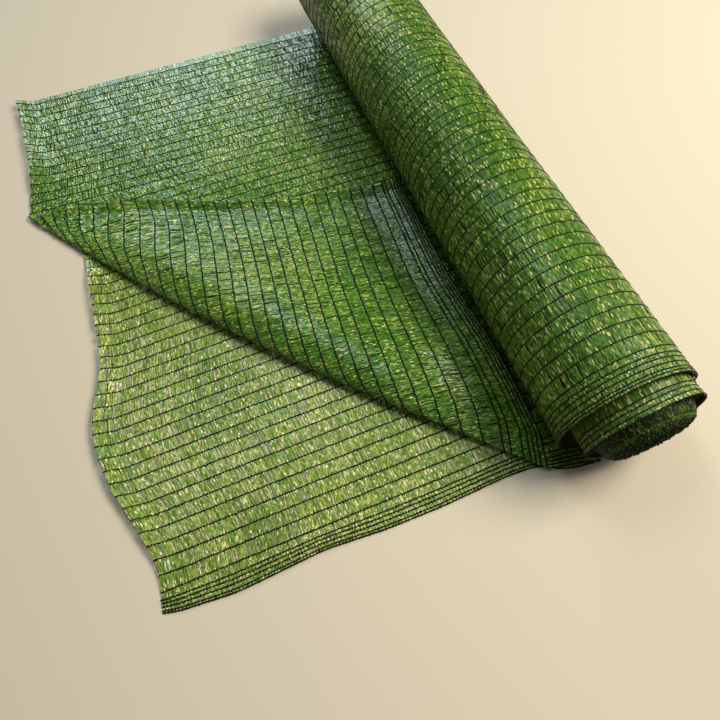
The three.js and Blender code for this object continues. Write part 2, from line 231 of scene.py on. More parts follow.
# Waves round the inner turns, in their radius and in their rim: height, crests and phase. They
# grow from one place along the roll to another
CORE_WAVES = ((0.5, 2, 0.8), (0.35, 5, 0))
CORE_WAVES_GROW = (15, -10)
CORE_RIM_WAVES = ((1.6, 2, 0.4),)
CORE_RIM_WAVES_GROW = (5, -25)
CORE_LINES = np.array([-27.0, -20.4, -13.8, -8.0, 6.0, 14.0])
CORE_STITCH_LINES = (0.03, 1, 2, 3)
# The turns below the outer one, seen through its slits, with the recess at the near end: rows of
# a place along the roll, a radius, and 1 on the inner turns
INNER_ROWS = (
    (1002.5, 83, 0), (998, 87.6, 0), (940, 88.2, 0), (700, 88.3, 0), (450, 88.3, 0),
    (200, 88.3, 0), (60, 88.3, 0), (2.0, 88.3, 0), (1.2, 87.6, 0), (2.0, 86.6, 0), (16, 86.2, 0),
    (18, 80, 0.5), (16, 73.6, 1), (-14, 73.6, 1), (-25.5, 74.4, 1),
)
INNER_COLUMNS = 112
INNER_LOWEST = 0.6
# The two ends: rows of a radius and its place along the roll
NEAR_END = np.array([
    (0, -45), (22, -45), (46, -44), (58, -38), (64, -23), (73, -20), (75.8, -26.5), (76.4, -26.8),
])
FAR_END = np.array([(0, 1002.6), (60, 1003.4), (83, 1002.5)])
TURN_THICKNESS = 3.1
MOST_TURNS = 60
# Waves round the near end's turns: height as a share of the radius, crests and phase
END_WAVES = ((0.012, 3, 1), (0.008, 5, 0))
# How far the edge of a turn stands out, is crowned and is rough, in millimetres, and over how
# many rows and columns its slower roughness changes
TURN_EDGE = {"out": 1.3, "crown": 1.1, "rough": 1.3}
TURN_ROUGH_REACH = (3, 9)
TURN_TONE_VARIES = 0.1
SPECKLE_POWER = 5
# A turn with a little green to it
GREEN_TURN = {"radius": 55, "width": 4}
TURN = 2 * math.pi

# A softened table is read in these steps, and this far past its ends
TABLE_STEP = 2.0
TABLE_MARGIN = 60
# Samples along a line of the net, and along the laid corner's two edges
LINE_SAMPLES = 161
LAID_CUT_SAMPLES = 200
LAID_SELVEDGE_SAMPLES = 400
# Rounds after which a place that is found by repetition has settled
ROUNDS = {"plan": 12, "laid": 40, "cut": 6}


def smoothstep(low, high, value):
    t = np.clip((value - low) / (high - low), 0, 1)
    return t * t * (3 - 2 * t)


def soft_table(table, softness):
    """A reader of a two-column table, with its corners rounded."""
    order = np.argsort(table[:, 0])
    x, y = table[order, 0], table[order, 1]
    fine = np.arange(x[0] - TABLE_MARGIN, x[-1] + TABLE_MARGIN, TABLE_STEP)
    reach = int(3 * softness / TABLE_STEP)
    weights = np.exp(-0.5 * (np.arange(-reach, reach + 1) * TABLE_STEP / softness) ** 2)
    weights /= weights.sum()
    padded = np.pad(np.interp(fine, x, y), reach, mode="edge")
    values = np.convolve(padded, weights, mode="valid")
    return lambda at: np.interp(at, fine, values)


lower_near = soft_table(LOWER_NEAR_EDGE, 10)
lower_cut = soft_table(LOWER_CUT_EDGE, 12)
upper_cut = soft_table(UPPER_CUT_EDGE, 8)
laid_cut = soft_table(LAID_CUT_EDGE, 14)


def far_edge(x):
    return NET_WIDTH - FAR_SPREAD * (x / -CREASE_TIP[0])


crease_length = float(np.hypot(*(CREASE_TIP - CREASE_NEAR)))
ALONG = (CREASE_TIP - CREASE_NEAR) / crease_length
INWARD = np.array([ALONG[1], -ALONG[0]])


def bow_at(c, w):
    t = np.clip(c / crease_length, 0, 1)
    return CREASE_BOW * np.sin(np.pi * t) * (1 - smoothstep(0, BOW_FADES, w))


def to_plan(c, w):
    """A place in the plan, from c along the crease and w across it, away from its bowed line."""
    across = w - bow_at(c, w)
    x = CREASE_NEAR[0] + ALONG[0] * c + INWARD[0] * across
    y = CREASE_NEAR[1] + ALONG[1] * c + INWARD[1] * across
    return x, y


def from_plan(x, y):
    """The reverse of to_plan, and the distance across the crease as if it had no bow."""
    c = (x - CREASE_NEAR[0]) * ALONG[0] + (y - CREASE_NEAR[1]) * ALONG[1]
    across = (x - CREASE_NEAR[0]) * INWARD[0] + (y - CREASE_NEAR[1]) * INWARD[1]
    w = across
    for _ in range(ROUNDS["plan"]):
        w = across + bow_at(c, w)
    return c, w, across


def swell(x, y):
    total = SWELL_MEAN
    for height, (x1, y1), (x2, y2), phase in SWELLS:
        total = total + height * (np.sin(x / x1 + y / y1) * np.sin(y / y2 + x / x2 + phase))
    return total


def cut_curl(x, edge):
    return CUT_CURL_HEIGHT * (1 - smoothstep(0, CUT_CURL_REACH, x - edge)) ** 2


def spline(points, count):
    """The rounded section through the points, with the place of each sample among them."""
    t = np.linspace(0, len(points) - 1, count)
    index = np.minimum(t.astype(int), len(points) - 2)
    u = (t - index)[:, None]
    p0 = points[np.maximum(index - 1, 0)]
    p1, p2 = points[index], points[index + 1]
    p3 = points[np.minimum(index + 2, len(points) - 1)]
    v0, v1 = (p2 - p0) / 2, (p3 - p1) / 2
    curve = (2 * p1 - 2 * p2 + v0 + v1) * u**3 + (-3 * p1 + 3 * p2 - 2 * v0 - v1) * u**2
    return curve + v0 * u + p1, t


section, section_place = spline(FOLD_SECTION, SECTION_SAMPLES)
section_length = np.concatenate([[0], np.cumsum(np.hypot(*np.diff(section, axis=0).T))])
nose = float(np.interp(NOSE_INDEX, section_place, section_length))
section_length -= nose
BASE_END, LAID_END = section_length[0], section_length[-1]


def across_to_q(w, laid):
    """Distance along the cloth from the nose of the fold, for a distance across the crease."""
    if laid:
        part = section_length >= 0
        inside = np.interp(w, np.maximum.accumulate(section[part, 0]), section_length[part])
        return np.where(w > FOLD_SECTION[-1, 0], LAID_END + w - FOLD_SECTION[-1, 0], inside)
    part = section_length <= 0
    inside = np.interp(w, section[part, 0][::-1], section_length[part][::-1])
    return np.where(w > FOLD_SECTION[0, 0], BASE_END - (w - FOLD_SECTION[0, 0]), inside)


def tip_opening(c):
    return smoothstep(0, FOLD_NARROWS_TIP, crease_length - c)


def fold_narrowing(c, w):
    """How much narrower the fold is towards its tip, at a distance w across the crease."""
    return (1 - smoothstep(*NARROWED_ACROSS, w)) * (1 - tip_opening(c)) * FOLD_NARROWING


def upper_surface(c, q):
    """A point of the upper layer: c along the crease, q along the cloth from the fold's nose."""
    w = np.interp(q, section_length, section[:, 0])
    rise = np.interp(q, section_length, section[:, 1])
    place = np.interp(q, section_length, section_place)
    w = w + np.maximum(0, BASE_END - q) + np.maximum(0, q - LAID_END)
    laid_back = smoothstep(0, LAID_BACK_STEPS, 2 * place - LAID_BACK_FROM)
    opened = tip_opening(c) * smoothstep(*FOLD_OPENS, c)
    narrowed = w * (1 - fold_narrowing(c, w) * laid_back)
    flat_rise = FLAT_FOLD_RISE * laid_back
    rise = flat_rise + (rise - flat_rise) * opened
    x, y = to_plan(c, narrowed)
    curl = cut_curl(x, upper_cut(y)) * (1 - laid_back) * smoothstep(*CURL_CLEARS_FOLD, w)
    near_roll = smoothstep(*LAID_EDGE_ZONE["x"], x) * smoothstep(*LAID_EDGE_ZONE["y"], y)
    edge_swell = laid_back * LAID_EDGE_SWELL * near_roll
    from_cut = laid_cut(x) - y
    laid_curl = LAID_CURL_HEIGHT * (1 - smoothstep(0, LAID_CURL_REACH, from_cut)) ** LAID_CURL_POWER
    edge_swell = edge_swell + laid_back * laid_curl * smoothstep(*LAID_CURL_ZONE, x)
    wave = swell(x, y) * smoothstep(0, SWELL_FADES, UPPER_NEAR_RIGHT[0] - x)
    wave = wave * smoothstep(0, SWELL_FADES, far_edge(x) - y)
    return np.stack([x, y, UPPER_HEIGHT + rise + curl + edge_swell + wave], -1)


def lower_surface(x, y):
    """A point of the lower layer. Past the far fold y goes on along the cloth, round the bend."""
    _, _, across = from_plan(x, y)
    opened = smoothstep(*PRESSED_UNDER_FOLD, across)
    corner = smoothstep(0, CORNER_PRESSED, y - lower_near(x))
    wave = (swell(x, y) - LOWER_SWELL_DROP) * smoothstep(0, SWELL_FADES, LOWER_SWELL_ENDS - x)
    z = LOWER_HEIGHT + opened * (cut_curl(x, lower_cut(y)) * corner + wave)
    bend_start = far_edge(x) - BEND_RADIUS - LOWER_HEIGHT
    angle = np.clip((y - bend_start) / BEND_RADIUS, 0, np.pi)
    bent = y > bend_start
    past = np.maximum(0, y - bend_start - np.pi * BEND_RADIUS)
    y_bent = bend_start + BEND_RADIUS * np.sin(angle) - past
    z_bent = LOWER_HEIGHT + BEND_RADIUS * (1 - np.cos(angle))
    return np.stack([x, np.where(bent, y_bent, y), np.where(bent, z_bent, z)], -1)


class Layer:
    """A layer of net: named lines across its width, each a path along the net that is given as
    two coordinates of a surface. A place on it is a line number, with fractions, and a share f of
    the way from the roll to the cut end."""

    def __init__(self, paths, surface, length, names):
        self.paths = np.array(paths)
        self.surface = surface
        self.length = length
        self.names = names
        self.cells = len(names) - 1

    def coordinates(self, v, f):
        lines, samples = self.paths.shape[:2]
        i = np.clip(np.floor(v).astype(int), 0, lines - 2)
        j = np.clip(np.floor(f * (samples - 1)).astype(int), 0, samples - 2)
        a, b = (v - i)[..., None], (f * (samples - 1) - j)[..., None]
        p = self.paths
        near = p[i, j] * (1 - b) + p[i, j + 1] * b
        far = p[i + 1, j] * (1 - b) + p[i + 1, j + 1] * b
        return near * (1 - a) + far * a

    def point(self, v, f):
        at = self.coordinates(v, f)
        return self.surface(at[..., 0], at[..., 1])


share = np.linspace(0, 1, LINE_SAMPLES)


def lower_layer():
    paths, names = [], []

    def add(name, nominal, edge_share=None):
        # Under the far part of the roll the layer keeps a little clear of it
        right = LOWER_RIGHT - LOWER_RIGHT_CLEARS * smoothstep(*LOWER_RIGHT_ZONE, nominal)
        cut = lower_cut(nominal)
        x = right + (LOWER_MEAN_CUT - right) * share + (cut - LOWER_MEAN_CUT) * share**3
        if edge_share is not None:
            y = FIRST_LINE + edge_share * (lower_near(x) - FIRST_LINE)
        else:
            spread = (far_edge(x) - NET_WIDTH) * smoothstep(SPREAD_FROM, NET_WIDTH, nominal)
            y = nominal + spread
        paths.append(np.stack([x, y], -1))
        names.append(name)

    for edge_share in LOWER_SELVEDGE:
        add("edge", FIRST_LINE * (1 - edge_share), edge_share)
    for n in range(1, LAST_LOWER_LINE + 1):
        add("line", FIRST_LINE + LINE_PITCH * (n - 1))
    bend_start = NET_WIDTH - BEND_RADIUS - LOWER_HEIGHT
    for k in range(BEND_LINES):
        add("bend", bend_start + np.pi * BEND_RADIUS * (k / (BEND_LINES - 1)))
    return Layer(paths, lower_surface, LOWER_LENGTH, names)


def run_length(points):
    return np.concatenate([[0], np.cumsum(np.hypot(*np.diff(points, axis=0).T))])


def laid_place(x, y):
    """Where on the laid layer a place of the plan is."""
    c, wanted, _ = from_plan(x, y)
    wanted = np.maximum(wanted, 0.0)
    w = wanted
    for _ in range(ROUNDS["laid"]):
        w = (w + wanted / (1 - fold_narrowing(c, w))) / 2
    return np.stack([c, across_to_q(w, True)], -1)


def upper_layer():
    cut_x = np.linspace(LAID_CUT_EDGE[0, 0], LAID_CUT_EDGE[-1, 0], LAID_CUT_SAMPLES)
    cut_line = np.stack([cut_x, laid_cut(cut_x)], -1)
    cut_length = run_length(cut_line)
    # How far the laid selvedge stands out from a straight line between its ends
    even = np.linspace(0, 1, LAID_SELVEDGE_SAMPLES)
    given = run_length(LAID_SELVEDGE) / run_length(LAID_SELVEDGE)[-1]
    selvedge = laid_place(*(np.interp(even, given, LAID_SELVEDGE[:, k]) for k in (0, 1)))
    selvedge_share = run_length(selvedge) / run_length(selvedge)[-1]
    chord = selvedge[0] + (selvedge[-1] - selvedge[0]) * selvedge_share[:, None]
    stands_out = selvedge - chord

    def line_y(n, x):
        away = (n + UPPER_LINE_START) * UPPER_LINE_PITCH
        along = math.sin(UPPER_LINE_SLOPE) * (x - UPPER_LINE_ORIGIN[0])
        return UPPER_LINE_ORIGIN[1] + (away - along) / math.cos(UPPER_LINE_SLOPE)

    right_x = UPPER_NEAR_RIGHT[0]
    paths, names = [], []

    def add_folded(name, d):
        # d is the distance from the selvedge in line pitches
        s = d / CREASE_PITCHES
        s = s - CREASE_LAG * math.sin(math.pi * s)
        n = d - SELVEDGE_WIDTH + 1
        crease = np.array([s * crease_length, 0.0])
        reached = np.interp(n, LAID_LINE_ENDS[:, 0], LAID_LINE_ENDS[:, 1])
        end = laid_place(*(np.interp(reached, cut_length, cut_line[:, k]) for k in (0, 1)))
        if n > FIRST_REGULAR_LINE:
            right_y = line_y(n, right_x)
        else:
            low = UPPER_NEAR_RIGHT[1]
            width = FIRST_REGULAR_LINE - 1 + SELVEDGE_WIDTH
            right_y = low + (line_y(FIRST_REGULAR_LINE, right_x) - low) * d / width
        # The share of the line that lies below the fold, as on the lines that aren't folded
        crease_x, crease_y = (float(v) for v in to_plan(*crease))
        below = (right_x - crease_x) / (right_x - UPPER_MEAN_CUT)
        on_base = np.clip(share / below, 0, 1)
        on_laid = np.clip((share - below) / (1 - below), 0, 1)[:, None]
        # Where it can be seen it runs beside the other lines. It bends to the crease out of sight
        base_x = right_x + (crease_x - right_x) * on_base
        base_y = right_y + line_y(n, base_x) - line_y(n, right_x)
        bend = 1 + BEND_DELAY * smoothstep(*BEND_ZONE, n)
        base_y = base_y + (crease_y - base_y[-1]) * on_base**bend
        c, w, _ = from_plan(base_x, base_y)
        base = np.stack([c, across_to_q(np.maximum(w, 0.0), False)], -1)
        path = np.where(share[:, None] < below, base, crease + (end - crease) * on_laid)
        for k in (0, 1):
            aside = np.interp(on_laid[:, 0], selvedge_share, stands_out[:, k])
            path[:, k] += aside * math.exp(-((d / SELVEDGE_BOW_FADES) ** 2))
        midway = smoothstep(*SAG_ZONE["grows"], n) * smoothstep(*SAG_ZONE["fades"], n)
        path[:, 0] -= LAID_LINE_SAG * midway * np.sin(math.pi * on_laid[:, 0])
        paths.append(path)
        names.append(name)

    def add_flat(name, y_of_x):
        cut = UPPER_MEAN_CUT + 1
        for _ in range(ROUNDS["cut"]):
            cut = float(upper_cut(y_of_x(cut)))
        x = right_x + (UPPER_MEAN_CUT - right_x) * share + (cut - UPPER_MEAN_CUT) * share**3
        c, w, _ = from_plan(x, y_of_x(x))
        paths.append(np.stack([c, across_to_q(np.maximum(w, 0.0), False)], -1))
        names.append(name)

    for d in SELVEDGE_LINES:
        add_folded("edge", d)
    for n in range(1, FIRST_FLAT_LINE):
        add_folded("line", n - 1 + SELVEDGE_WIDTH)
    for n in range(FIRST_FLAT_LINE, LAST_UPPER_LINE + 1):
        add_flat("line", lambda x, n=n: line_y(n, x))
    add_flat("bend", lambda x: far_edge(x) - BEND_RADIUS - LOWER_HEIGHT)
    return Layer(paths, upper_surface, UPPER_LENGTH, names)


def waves_round(angle, waves):
    return sum(height * np.sin(crests * angle + phase) for height, crests, phase in waves)


def roll_radius(y, angle):
    """The outer turn: a little uneven above, pressed round and even below."""
    free = smoothstep(*ROLL_FREE_FROM, np.sin(angle))
    base = np.interp(y, *ROLL_RADII.T)
    lump = ROLL_LUMPS * sum(np.sin(crests * angle + y / twist) for crests, twist in ROLL_WAVES)
    pressed = np.minimum(base, ROLL_RADIUS - ROLL_PRESSED)
    return pressed + free * (base - pressed + lump)


def roll_surface(y, angle):
    # The far end is turned in over its last few millimetres
    far = np.clip((y - FAR_TURNED_IN["from"]) / FAR_TURNED_IN["over"], 0, 1)
    radius = roll_radius(y, angle) - FAR_TURNED_IN["by"] * far**2
    x = radius * np.cos(angle)
    z = np.maximum(ROLL_LOWEST, AXIS_HEIGHT + radius * np.sin(angle))
    return np.stack([x, np.minimum(y, ROLL_FAR_END), z], -1)


def core_surface(y, angle):
    uneven = waves_round(angle, CORE_WAVES) * smoothstep(*CORE_WAVES_GROW, y)
    radius = np.interp(y, *CORE_RADII.T) + uneven
    x = CORE_SHIFT[0] + radius * np.cos(angle)
    z = AXIS_HEIGHT + CORE_SHIFT[2] + radius * np.sin(angle)
    rim = waves_round(angle, CORE_RIM_WAVES) * smoothstep(*CORE_RIM_WAVES_GROW, y)
    return np.stack([x, y + rim, z], -1)


def unit(v):
    return v / np.maximum(np.linalg.norm(v, axis=-1, keepdims=True), 1e-9)


def new_object(name, points, faces, tone=None, uv=None, smooth=True):
    """A mesh object from arrays. points are millimetres with the near selvedge at y = 0."""
    points = (np.asarray(points, float).reshape(-1, 3) + [0, -NET_WIDTH / 2, 0]) * MM
    mesh = bpy.data.meshes.new(name)
    mesh.vertices.add(len(points))
    mesh.vertices.foreach_set("co", points.astype(np.float32).ravel())
    faces = np.asarray(faces, np.int32)
    mesh.loops.add(faces.size)
    mesh.loops.foreach_set("vertex_index", faces.ravel())
    mesh.polygons.add(len(faces))
    starts = np.arange(0, faces.size, faces.shape[1], dtype=np.int32)
    mesh.polygons.foreach_set("loop_start", starts)
    mesh.polygons.foreach_set("use_smooth", np.full(len(faces), smooth))
    mesh.update(calc_edges=True)
    if tone is not None:
        attribute = mesh.attributes.new("tone", "FLOAT", "FACE")
        attribute.data.foreach_set("value", np.asarray(tone, np.float32).ravel())
    if uv is not None:
        layer = mesh.uv_layers.new(name="OFBake")
        flat = np.asarray(uv, np.float32).reshape(-1, 2)[faces.ravel()]
        layer.data.foreach_set("uv", flat.ravel())
    mesh.validate()
    obj = bpy.data.objects.new(name, mesh)
    bpy.context.scene.collection.objects.link(obj)
    return obj


def grid_faces(rows, columns, closed=False):
    i, j = np.meshgrid(np.arange(rows - 1), np.arange(columns if closed else columns - 1),
                       indexing="ij")
    j2 = (j + 1) % columns
    quads = np.stack([i * columns + j, i * columns + j2, (i + 1) * columns + j2,
                      (i + 1) * columns + j], -1)
    return quads.reshape(-1, 4)


def smooth_noise(rng, rows, columns, row_reach, column_reach):
    """Random values over a grid that change over so many rows and columns."""
    coarse = rng.uniform(-1, 1, (rows // row_reach + 3, columns // column_reach + 3))
    r = np.arange(rows) / row_reach
    c = np.arange(columns) / column_reach
    i, j = r.astype(int), c.astype(int)
    a = smoothstep(0, 1, r - i)[:, None]
    b = smoothstep(0, 1, c - j)[None, :]
    top = coarse[i][:, j] * (1 - b) + coarse[i][:, j + 1] * b
    low = coarse[i + 1][:, j] * (1 - b) + coarse[i + 1][:, j + 1] * b
    return top * (1 - a) + low * a


def tape_rows(names, steps_of):
    """Places along a tape as line numbers, and how far each is from the nearest line: 0 on it."""
    cells = len(names) - 1
    places, belly = [], []
    for cell in range(cells):
        steps = steps_of[names[cell + 1]]
        for k in range(steps):
            places.append(cell + k / steps)
            belly.append(math.sin(math.pi * k / steps))
    places.append(float(cells))
    belly.append(0.0)
    return np.array(places), np.array(belly)


def make_tapes(name, layer, steps_of, seed, relief=1.0, slits=0.35, pale=0.05, closed=False,
               lowest=None):
    """Flat tapes side by side across the lines of a layer.

    slits is the share of the tapes that are drawn narrow between two lines and leave a slit, and
    pale the share of their facets that are given the palest tone, as painted glints."""
    rng = np.random.default_rng(seed)
    length, cells = layer.length, layer.cells
    count = round(length / TAPE_PITCH)
    pitch = length / count
    places, belly = tape_rows(layer.names, steps_of)
    rows = len(places)
    v = np.repeat(places[:, None], count, 1)
    belly = belly[:, None]
    cell = np.minimum(places.astype(int), cells - 1)

    def by_cell():
        return rng.uniform(-1, 1, (cells, count))[cell]

    def by_place():
        return rng.uniform(-1, 1, (rows, count))

    def by_pair():
        return np.repeat(rng.uniform(-1, 1, (rows // 2 + 1, count)), 2, 0)[:rows]

    def uneven(amounts, of_cell):
        shift = amounts["cell"] * of_cell + amounts["pair"] * by_pair()
        return shift + amounts["place"] * by_place()

    sway, turn, ridge, tone_of_cell = by_cell(), by_cell(), by_cell(), by_cell()
    drift = smooth_noise(rng, rows, count, *DRIFT_REACH)
    patch = smooth_noise(rng, rows, count, *PATCH_REACH)
    narrow = np.clip((by_cell() + SLIT_PATCHES * patch - (1 - 2 * slits)) / slits, 0, 1)
    narrowing = DRAWN_IN * narrow * np.minimum(1, DRAWN_IN_SOON * belly)
    centre = (np.arange(count)[None, :] + 0.5) * pitch
    # A tape that is drawn narrow leaves its slit on one side only, and few run straight
    centre = centre + np.sign(by_cell()) * narrowing * TAPE_WIDTH / 2
    slant = TAPE_SHIFT["slant"] * by_cell() * (places % 1 - 0.5)[:, None]
    centre = centre + slant * (belly > 0)
    centre = centre + belly * (TAPE_SHIFT["cell"] * sway + TAPE_SHIFT["drift_between"] * drift)
    centre = centre + TAPE_SHIFT["drift"] * drift + TAPE_SHIFT["place"] * by_place()
    pinch = 1 - PINCH + PINCH * belly
    width = TAPE_WIDTH * pinch * (1 - narrowing) * (1 + WIDTH_VARIES * by_place())
    swing = (1 - RELIEF_BETWEEN + RELIEF_BETWEEN * belly) * relief
    tilt = uneven(TAPE_TILT, turn) * swing
    crease = uneven(TAPE_CREASE, ridge) * swing
    lift = (TAPE_LIFT["drift"] * drift + TAPE_LIFT["place"] * by_place()) * swing

    def at(offset):
        f = (centre + offset) / length
        return layer.point(v, f if closed else np.clip(f, 0, 1))

    middle = at(RIDGE_SHIFT * width * by_place())
    left, right = at(-width / 2), at(width / 2)
    across = unit(right - left)
    down = unit(np.gradient(middle, axis=0))
    normal = unit(np.cross(across, down))
    left = left + normal * (lift - tilt)[..., None]
    right = right + normal * (lift + tilt)[..., None]
    middle = middle + normal * (lift + crease)[..., None]
    points = np.stack([left, middle, right], 2)
    if lowest is not None:
        points[..., 2] = np.maximum(points[..., 2], lowest)
    # One grid of three columns for each tape
    index = np.arange(rows * count * 3).reshape(rows, count, 3)
    a, b = index[:-1, :, :-1], index[:-1, :, 1:]
    c, d = index[1:, :, 1:], index[1:, :, :-1]
    faces = np.stack([a, b, c, d], -1).reshape(-1, 4)
    tone = MEAN_TONE + TONE_VARIES["cell"] * tone_of_cell + TONE_VARIES["patch"] * patch
    by_facet = rng.uniform(-1, 1, (rows - 1, count, 2))
    tone = tone[:-1, :, None] + TONE_VARIES["facet"] * by_facet
    # Here and there a facet is given the palest tone, as a painted glint
    tone = np.where(rng.random(tone.shape) < pale, PAINTED_GLINT_TONE, tone)
    u = (centre[..., None] + np.array([-0.5, 0, 0.5]) * TAPE_PITCH * 0.9) / length
    w = np.repeat((v / cells)[..., None], 3, 2)
    uv = np.stack([np.clip(u, 0, 1), w], -1)
    return new_object(name, points, faces, np.clip(tone, 0, 1), uv, smooth=False)


def make_stitches(name, layer, lines, seed, closed=False, lowest=None, thick=1.0):
    """Chains of black stitches: cords that swell out at each stitch, along lines of the layer."""
    rng = np.random.default_rng(seed)
    point, length, top = layer.point, layer.length, layer.cells
    stitches = round(length / STITCH_LENGTH)
    lines = np.asarray(lines, float)
    rows = len(lines)
    starts = np.arange(stitches + (0 if closed else 1)) / stitches
    f = np.stack([starts, starts + STITCH_SWELLS_AT / stitches], -1).ravel()
    swells = np.tile([False, True], len(starts))
    if not closed:
        f, swells = f[:-1], swells[:-1]
    f = np.repeat(f[None, :], rows, 0)
    f = f + rng.uniform(-STITCH_SHIFT, STITCH_SHIFT, f.shape) / stitches
    if not closed:
        # The ends stand out of the cut edge
        f[:, -1] = 1 + rng.uniform(*THREAD_ENDS, rows) / length
    v = np.repeat(lines[:, None], f.shape[1], 1)
    wander = WANDER["slow"] * smooth_noise(rng, rows, f.shape[1], *WANDER_REACH)
    wander = wander + WANDER["each"] * rng.uniform(-1, 1, f.shape)
    v = np.clip(v + wander, 0, top)
    middle = point(v, f)
    # The direction across the chain is taken between two places close to it
    step = 0.05
    beside = unit(point(np.minimum(v + step, top), f) - point(np.maximum(v - step, 0), f))
    ahead = unit(np.gradient(middle, axis=1))
    normal = unit(np.cross(ahead, beside))
    bead = np.where(swells, *BEAD_WIDTHS)[None, :]
    bead = bead * (1 + BEAD_VARIES["width"] * rng.uniform(-1, 1, f.shape)) * thick
    rise = np.where(swells, *BEAD_HEIGHTS)[None, :]
    rise = rise * (1 + BEAD_VARIES["height"] * rng.uniform(-1, 1, f.shape)) * thick
    sideways = beside * bead[..., None]
    upright = normal * rise[..., None]
    ring = np.stack([middle + upright, middle + sideways, middle - upright, middle - sideways], 2)
    if lowest is not None:
        ring[..., 2] = np.maximum(ring[..., 2], lowest)
    columns = f.shape[1]
    index = np.arange(rows * columns * 4).reshape(rows, columns, 4)
    if closed:
        following = np.roll(index, -1, 1)
        here = index
    else:
        here, following = index[:, :-1], index[:, 1:]
    turned_here, turned_next = np.roll(here, -1, 2), np.roll(following, -1, 2)
    faces = np.stack([here, following, turned_next, turned_here], -1).reshape(-1, 4)
    u = np.repeat(np.clip(f, 0, 1)[..., None], 4, 2)
    w = (np.arange(rows)[:, None, None] + np.array([0.1, 0.3, 0.6, 0.8])[None, None, :]) / rows
    uv = np.stack([u, np.broadcast_to(w, u.shape)], -1)
    return new_object(name, ring, faces, None, uv)


class RoundLayer:
    """A turn of the roll, as a layer: named lines at places along the roll, round a surface."""

    def __init__(self, lines, surface, radius, names):
        self.lines = lines
        self.surface = surface
        self.length = TURN * radius
        self.names = names
        self.cells = len(names) - 1

    def point(self, v, f):
        y = np.interp(v, np.arange(len(self.lines)), self.lines)
        return self.surface(y, TURN * f - math.pi / 2)


# Materials

# Streaks over the whole of a piece, along the net and across its lines, and their share of the
# tone, with the share of the slow clouds
STREAKS = (480.0, 140.0, 1.0)
STREAK_RANGE = 1.5
CLOUD_RANGE = 0.32
# Tones of the four colours, from dark to pale. On the tapes the palest is that of the painted
# glints
GREEN_TONES = (0.28, 0.56, 0.8, 1.0)
SMOOTHER, ROUGHER = -0.1, 0.12


def new_material(name):
    """A material with a Principled shader alone, its node tree and the shader."""
    material = bpy.data.materials.new(name)
    material.use_nodes = True
    tree = material.node_tree
    tree.nodes.clear()
    out = tree.nodes.new("ShaderNodeOutputMaterial")
    shader = tree.nodes.new("ShaderNodeBsdfPrincipled")
    tree.links.new(shader.outputs["BSDF"], out.inputs["Surface"])
    return material, tree, shader


def add_node(tree, kind, values=None, **links):
    """A node with input values by name or number, and inputs linked to the named sockets."""
    made = tree.nodes.new(kind)
    for key, value in (values or {}).items():
        made.inputs[key].default_value = value
    for key, socket in links.items():
        tree.links.new(socket, made.inputs[key])
    return made


def add_maths(tree, operation, *inputs):
    """A Math node's result. Its inputs are numbers or sockets."""
    made = tree.nodes.new("ShaderNodeMath")
    made.operation = operation
    for place, value in enumerate(inputs):
        if isinstance(value, float):
            made.inputs[place].default_value = value
        else:
            tree.links.new(value, made.inputs[place])
    return made.outputs[0]


def add_ramp(tree, shader, tone, colours):
    """Colours the shader by tone, with colours as pairs of a tone and a colour."""
    ramp = add_node(tree, "ShaderNodeValToRGB", Fac=tone)
    elements = ramp.color_ramp.elements
    first, last = colours[0], colours[-1]
    elements[0].position, elements[0].color = first[0], (*first[1], 1)
    elements[1].position, elements[1].color = last[0], (*last[1], 1)
    for position, colour in colours[1:-1]:
        elements.new(position).color = (*colour, 1)
    tree.links.new(ramp.outputs["Color"], shader.inputs["Base Color"])


def add_bump(tree, shader, height, distance):
    bump = add_node(
        tree, "ShaderNodeBump", {"Strength": 0.5, "Distance": distance}, Height=height)
    tree.links.new(bump.outputs["Normal"], shader.inputs["Normal"])


def net_material(name, dark, middle, light, pale, roughness, gloss):
    material, tree, shader = new_material(name)
    shader.inputs["Specular IOR Level"].default_value = gloss
    place = tree.nodes.new("ShaderNodeTexCoord")
    tone = tree.nodes.new("ShaderNodeAttribute")
    tone.attribute_name = "tone"
    cloud = add_node(
        tree, "ShaderNodeTexNoise", {"Scale": 7.0, "Detail": 3.0, "Roughness": 0.6},
        Vector=place.outputs["Object"])
    # Fine streaks, drawn out along the tapes
    along = tree.nodes.new("ShaderNodeUVMap")
    along.uv_map = "OFBake"
    stretch = add_node(
        tree, "ShaderNodeMapping", {"Scale": STREAKS}, Vector=along.outputs["UV"])
    streak = add_node(
        tree, "ShaderNodeTexNoise", {"Scale": 1.0, "Detail": 2.0, "Roughness": 0.7},
        Vector=stretch.outputs["Vector"]).outputs["Fac"]
    clouded = add_maths(
        tree, "MULTIPLY_ADD", cloud.outputs["Fac"], CLOUD_RANGE, tone.outputs["Fac"])
    # The streaks go both ways from the tone, so half their range comes off it
    lowered = add_maths(tree, "SUBTRACT", clouded, STREAK_RANGE / 2)
    mixed = add_maths(tree, "MULTIPLY_ADD", streak, STREAK_RANGE, lowered)
    add_ramp(tree, shader, mixed, list(zip(GREEN_TONES, (dark, middle, light, pale))))
    rough = add_node(
        tree, "ShaderNodeMapRange",
        {"To Min": roughness + SMOOTHER, "To Max": roughness + ROUGHER}, Value=streak)
    tree.links.new(rough.outputs["Result"], shader.inputs["Roughness"])
    add_bump(tree, shader, streak, 0.0005)
    return material


def thread_material(name, low, high):
    material, tree, shader = new_material(name)
    shader.inputs["Specular IOR Level"].default_value = 0.12
    shader.inputs["Roughness"].default_value = 0.7
    place = tree.nodes.new("ShaderNodeTexCoord")
    grain = add_node(
        tree, "ShaderNodeTexNoise", {"Scale": 900.0, "Detail": 2.0},
        Vector=place.outputs["Object"]).outputs["Fac"]
    add_ramp(tree, shader, grain, [(0.35, low), (0.75, high)])
    add_bump(tree, shader, grain, 0.0003)
    return material
